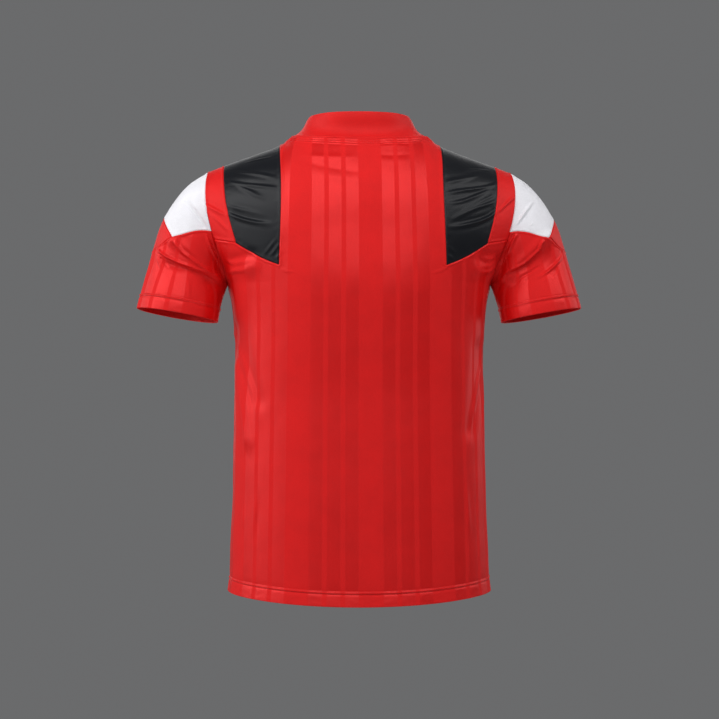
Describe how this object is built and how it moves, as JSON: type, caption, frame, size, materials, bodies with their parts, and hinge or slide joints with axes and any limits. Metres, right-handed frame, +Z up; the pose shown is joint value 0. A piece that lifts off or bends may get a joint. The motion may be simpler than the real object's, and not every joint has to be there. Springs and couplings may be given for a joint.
{
  "type": "football jersey",
  "caption": "Short-sleeved football jersey in worn, hollow form, with a stand collar, tonal stripes, dark shoulder panels and pale sleeve blocks.",
  "frame": {"origin": "where the wearer holds the jersey: the base of the neck, midway between the shoulders, at the height of the neck seam", "axes": "+X to the wearer's right, +Y to the wearer's front, +Z up along the wearer's neck"},
  "size_m": [0.682, 0.2485, 0.7426],
  "materials": {
    "striped_red_knit": "polyester jacquard knit, red satin stripes on a matt red ground",
    "plain_red_knit": "plain red polyester interlock, soft sheen",
    "collar_red_knit": "smooth red double knit, soft sheen",
    "black_knit": "black polyester interlock, soft sheen",
    "white_knit": "white polyester interlock, soft sheen"
  },
  "bodies": {
    "root": {"back": "striped_red_knit", "front": "striped_red_knit", "collar": "collar_red_knit", "sleeve_left": "striped_red_knit", "sleeve_right": "striped_red_knit", "shoulder_panel_left": "black_knit", "shoulder_panel_right": "black_knit", "shoulder_strip_left": "plain_red_knit", "shoulder_strip_right": "plain_red_knit", "sleeve_block_left": "white_knit", "sleeve_block_right": "white_knit", "sleeve_top_left": "plain_red_knit", "sleeve_top_right": "plain_red_knit"}
  },
  "joints": []
}
